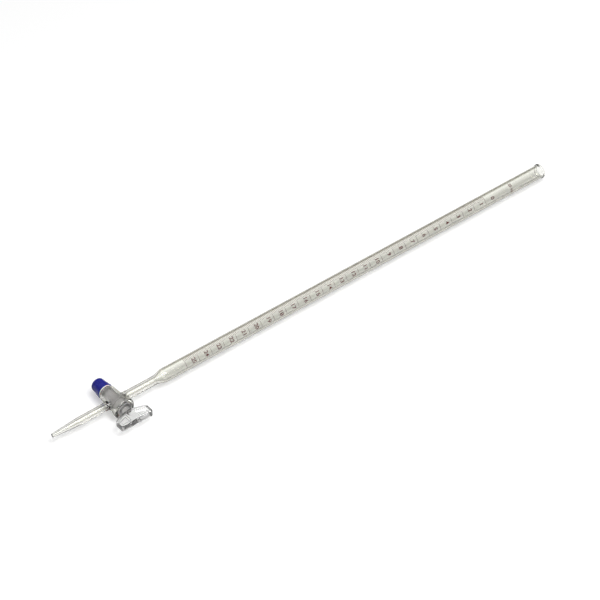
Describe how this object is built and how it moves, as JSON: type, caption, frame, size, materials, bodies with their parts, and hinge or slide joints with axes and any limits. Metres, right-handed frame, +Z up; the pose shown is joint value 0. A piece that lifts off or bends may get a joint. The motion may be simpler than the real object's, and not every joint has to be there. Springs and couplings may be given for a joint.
{
  "type": "burette",
  "caption": "Glass burette lying on its side: graduated tube with a lipped mouth, ground-glass stopcock with T-handle and screw-on retaining nut, and a drawn jet.",
  "frame": {"origin": "bottom centre of the bounding box, on the bench that the burette lies on", "axes": "+X along the tube from the jet to the mouth, +Y along the stopcock key from the T-handle to the retaining nut, +Z up"},
  "size_m": [0.5276, 0.0574, 0.0192],
  "materials": {
    "tube_glass": "clear, fire-polished",
    "moulded_glass": "clear moulded outside, ground socket inside",
    "key_glass": "clear pressed handle, ground plug",
    "ptfe": "waxy white",
    "seal_rubber": "matt",
    "blue_plastic": "moulded, glossy"
  },
  "bodies": {
    "glassware": {"graduated_tube": "tube_glass", "inlet_arm": "tube_glass", "outlet_jet": "tube_glass", "stopcock_barrel": "moulded_glass"},
    "key": {"stopcock_key": "key_glass", "ptfe_washer": "ptfe"},
    "seal": {"o_ring": "seal_rubber"},
    "nut": {"retaining_nut": "blue_plastic"}
  },
  "joints": [
    {"name": "key_turn", "type": "hinge", "parent": "glassware", "child": "key", "pos_m": [-0.20061, 0.00175, 0.0096], "axis": [0, 1, 0], "continuous": true},
    {"name": "nut_travel", "type": "slide", "parent": "key", "child": "seal", "axis": [0, 1, 0], "range_m": [0, 0.005]},
    {"name": "nut_turn", "type": "hinge", "parent": "seal", "child": "nut", "pos_m": [-0.20061, 0.00175, 0.0096], "axis": [0, 1, 0], "range_deg": [0, 1441]}
  ],
  "couplings": [
    {"joint": "nut_turn", "follows": "nut_travel", "rad_per_m": 5026.5}
  ]
}
